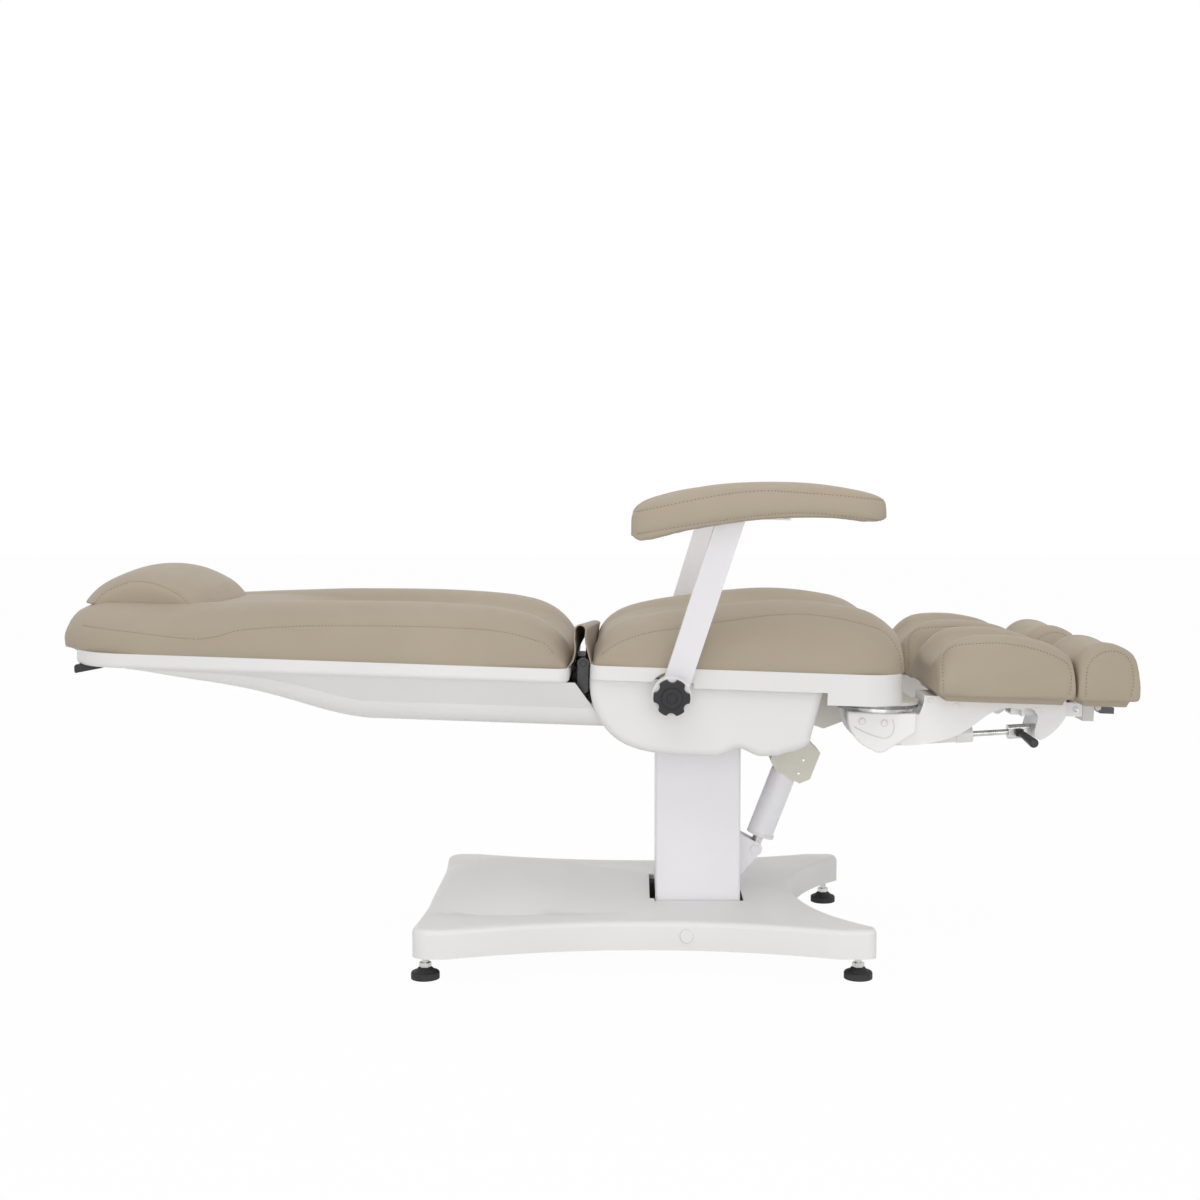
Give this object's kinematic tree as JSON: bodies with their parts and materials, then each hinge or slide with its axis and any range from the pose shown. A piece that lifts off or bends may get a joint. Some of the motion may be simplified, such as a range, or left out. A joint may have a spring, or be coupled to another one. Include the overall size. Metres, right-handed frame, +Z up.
{
  "type": "pedicure chair",
  "caption": "Flat-lying electric pedicure and treatment chair with a lift column, two actuators, armrests and parted leg rests.",
  "frame": {"origin": "floor level under the middle of the chair's bounding box", "axes": "+X towards the foot end, +Y across the chair, +Z up"},
  "size_m": [1.8554, 0.8508, 0.8622],
  "materials": {
    "upholstery": "soft matt artificial leather",
    "flap_upholstery": "soft matt artificial leather",
    "strap_elastic": "woven elastic",
    "cover_white": "satin moulded plastic",
    "shell_white": "satin moulded plastic",
    "column_white": "satin powder coat",
    "post_white": "satin powder coat",
    "leg_white": "satin powder coat",
    "hub_ivory": "satin moulded plastic",
    "gas_white": "gloss paint",
    "housing_cream": "matt moulded plastic",
    "actuator_grey": "satin",
    "beam_grey": "satin powder coat",
    "black_steel": "satin powder coat",
    "zinc_steel": "zinc plated",
    "foot_rubber": "moulded rubber",
    "dark_plastic": "textured",
    "hook_plastic": "textured",
    "knob_plastic": "fine textured",
    "grip_plastic": "fine textured",
    "bush_plastic": "matt moulded plastic",
    "lever_grey": "matt moulded plastic"
  },
  "bodies": {
    "base": {"base_frame": "black_steel", "base_cover": "cover_white", "foot_pads": "foot_rubber", "foot_studs": "zinc_steel", "column_post": "zinc_steel", "lift_motor": "black_steel", "cover_plugs": "cover_white", "control_box": "dark_plastic", "mains_inlet": "dark_plastic"},
    "lift": {"column_sleeve": "column_white", "column_head": "black_steel", "lift_rod": "zinc_steel", "tilt_clevis": "column_white", "tilt_shaft": "zinc_steel"},
    "seat": {"seat_frame": "black_steel", "seat_shell": "shell_white", "seat_cushion": "upholstery", "front_beam": "beam_grey", "hinge_brackets": "black_steel", "hinge_flap": "flap_upholstery", "arm_stubs": "zinc_steel", "swivel_rings": "zinc_steel"},
    "backrest": {"back_frame": "black_steel", "back_shell": "shell_white", "back_cushion": "upholstery", "head_pillow": "upholstery", "pillow_strap": "strap_elastic", "handset_hook": "hook_plastic"},
    "back_actuator": {"back_motor": "actuator_grey"},
    "back_actuator_rod": {"back_rod": "zinc_steel"},
    "tilt_actuator_rod": {"tilt_rod": "zinc_steel"},
    "tilt_actuator": {"tilt_motor": "housing_cream", "tilt_tube": "actuator_grey"},
    "right_arm": {"right_arm_post": "post_white", "right_arm_pad": "upholstery"},
    "right_knob": {"right_arm_knob": "knob_plastic"},
    "right_hub": {"right_leg_hub": "zinc_steel", "right_hub_cover": "hub_ivory"},
    "right_leg": {"right_leg_frame": "leg_white", "right_calf_cushion": "upholstery"},
    "right_gas_spring_rod": {"right_gas_rod": "zinc_steel"},
    "right_gas_spring_tube": {"right_gas_tube": "gas_white"},
    "right_release": {"right_release_lever": "grip_plastic"},
    "right_foot": {"right_foot_slide": "bush_plastic", "right_foot_cushion": "upholstery"},
    "right_foot_catch": {"right_foot_lever": "lever_grey"},
    "left_arm": {"left_arm_post": "post_white", "left_arm_pad": "upholstery"},
    "left_knob": {"left_arm_knob": "knob_plastic"},
    "left_hub": {"left_leg_hub": "zinc_steel", "left_hub_cover": "hub_ivory"},
    "left_leg": {"left_leg_frame": "leg_white", "left_calf_cushion": "upholstery"},
    "left_gas_spring_rod": {"left_gas_rod": "zinc_steel"},
    "left_gas_spring_tube": {"left_gas_tube": "gas_white"},
    "left_release": {"left_release_lever": "grip_plastic"},
    "left_foot": {"left_foot_slide": "bush_plastic", "left_foot_cushion": "upholstery"},
    "left_foot_catch": {"left_foot_lever": "lever_grey"}
  },
  "joints": [
    {"name": "column_lift", "type": "slide", "parent": "base", "child": "lift", "axis": [0, 0, 1], "range_m": [0, 0.25]},
    {"name": "seat_tilt", "type": "hinge", "parent": "lift", "child": "seat", "pos_m": [0.193, 0, 0.42], "axis": [0, -1, 0], "range_deg": [0, 14]},
    {"name": "tilt_rod_swing", "type": "hinge", "parent": "lift", "child": "tilt_actuator_rod", "pos_m": [0.303, 0, 0.173], "axis": [0, -1, 0], "range_deg": [0, 5.3]},
    {"name": "tilt_actuator_stroke", "type": "slide", "parent": "tilt_actuator_rod", "child": "tilt_actuator", "axis": [0.3619, 0, 0.9322], "range_m": [0, 0.0455]},
    {"name": "back_recline", "type": "hinge", "parent": "seat", "child": "backrest", "pos_m": [-0.01361, 0, 0.54929], "axis": [0, 1, 0], "range_deg": [0, 65], "deforming": ["hinge_flap"]},
    {"name": "back_actuator_swing", "type": "hinge", "parent": "backrest", "child": "back_actuator", "pos_m": [-0.34592, 0, 0.48885], "axis": [0, 1, 0], "range_deg": [-14.6, 0]},
    {"name": "back_actuator_stroke", "type": "slide", "parent": "back_actuator", "child": "back_actuator_rod", "axis": [0.9936, 0, -0.1126], "range_m": [0, 0.0675]},
    {"name": "right_arm_swing", "type": "hinge", "parent": "seat", "child": "right_arm", "pos_m": [0.13786, -0.33, 0.50297], "axis": [0, 1, 0], "range_deg": [-75, 20]},
    {"name": "right_knob_turn", "type": "hinge", "parent": "seat", "child": "right_knob", "pos_m": [0.13786, -0.35, 0.50297], "axis": [0, -1, 0], "continuous": true},
    {"name": "right_leg_swing", "type": "hinge", "parent": "seat", "child": "right_hub", "pos_m": [0.50676, -0.17, 0.46508], "axis": [-0.0349, 0, -0.9994], "range_deg": [0, 25]},
    {"name": "right_leg_fold", "type": "hinge", "parent": "right_hub", "child": "right_leg", "pos_m": [0.53508, -0.17, 0.44508], "axis": [0, 1, 0], "range_deg": [0, 75]},
    {"name": "right_gas_rod_swing", "type": "hinge", "parent": "right_leg", "child": "right_gas_spring_rod", "pos_m": [0.7904, -0.17, 0.42115], "axis": [0, 1, 0], "range_deg": [0, 1.1]},
    {"name": "right_gas_spring_stroke", "type": "slide", "parent": "right_gas_spring_rod", "child": "right_gas_spring_tube", "axis": [0.9983, 0, 0.0583], "range_m": [0, 0.057]},
    {"name": "right_release_pull", "type": "hinge", "parent": "right_gas_spring_rod", "child": "right_release", "pos_m": [0.76124, -0.1878, 0.41945], "axis": [-0.0349, 0, -0.9994], "range_deg": [0, 12], "stiffness_Nm_per_rad": 1.2, "springref_deg": -17.19},
    {"name": "right_foot_extend", "type": "slide", "parent": "right_leg", "child": "right_foot", "axis": [0.9994, 0, -0.0349], "range_m": [0, 0.08]},
    {"name": "right_foot_catch_lift", "type": "hinge", "parent": "right_foot", "child": "right_foot_catch", "pos_m": [0.89998, -0.17, 0.46435], "axis": [0, -1, 0], "range_deg": [0, 12], "stiffness_Nm_per_rad": 0.6, "springref_deg": -17.19},
    {"name": "left_arm_swing", "type": "hinge", "parent": "seat", "child": "left_arm", "pos_m": [0.13786, 0.33, 0.50297], "axis": [0, 1, 0], "range_deg": [-75, 20]},
    {"name": "left_knob_turn", "type": "hinge", "parent": "seat", "child": "left_knob", "pos_m": [0.13786, 0.35, 0.50297], "axis": [0, 1, 0], "continuous": true},
    {"name": "left_leg_swing", "type": "hinge", "parent": "seat", "child": "left_hub", "pos_m": [0.50676, 0.17, 0.46508], "axis": [0.0349, 0, 0.9994], "range_deg": [0, 25]},
    {"name": "left_leg_fold", "type": "hinge", "parent": "left_hub", "child": "left_leg", "pos_m": [0.53508, 0.17, 0.44508], "axis": [0, 1, 0], "range_deg": [0, 75]},
    {"name": "left_gas_rod_swing", "type": "hinge", "parent": "left_leg", "child": "left_gas_spring_rod", "pos_m": [0.7904, 0.17, 0.42115], "axis": [0, 1, 0], "range_deg": [0, 1.1]},
    {"name": "left_gas_spring_stroke", "type": "slide", "parent": "left_gas_spring_rod", "child": "left_gas_spring_tube", "axis": [0.9983, 0, 0.0583], "range_m": [0, 0.057]},
    {"name": "left_release_pull", "type": "hinge", "parent": "left_gas_spring_rod", "child": "left_release", "pos_m": [0.76124, 0.1878, 0.41945], "axis": [0.0349, 0, 0.9994], "range_deg": [0, 12], "stiffness_Nm_per_rad": 1.2, "springref_deg": -17.19},
    {"name": "left_foot_extend", "type": "slide", "parent": "left_leg", "child": "left_foot", "axis": [0.9994, 0, -0.0349], "range_m": [0, 0.08]},
    {"name": "left_foot_catch_lift", "type": "hinge", "parent": "left_foot", "child": "left_foot_catch", "pos_m": [0.89998, 0.17, 0.46435], "axis": [0, -1, 0], "range_deg": [0, 12], "stiffness_Nm_per_rad": 0.6, "springref_deg": -17.19}
  ],
  "couplings": [
    {"joint": "tilt_rod_swing", "follows": "seat_tilt", "ratio": 0.36995},
    {"joint": "tilt_actuator_stroke", "follows": "seat_tilt", "m_per_rad": 0.18323},
    {"joint": "back_actuator_swing", "follows": "back_recline", "ratio": -0.2213},
    {"joint": "back_actuator_stroke", "follows": "back_recline", "m_per_rad": 0.05888},
    {"joint": "right_gas_rod_swing", "follows": "right_leg_fold", "ratio": 0.01335},
    {"joint": "right_gas_spring_stroke", "follows": "right_leg_fold", "m_per_rad": 0.04315},
    {"joint": "left_gas_rod_swing", "follows": "left_leg_fold", "ratio": 0.01335},
    {"joint": "left_gas_spring_stroke", "follows": "left_leg_fold", "m_per_rad": 0.04315}
  ]
}
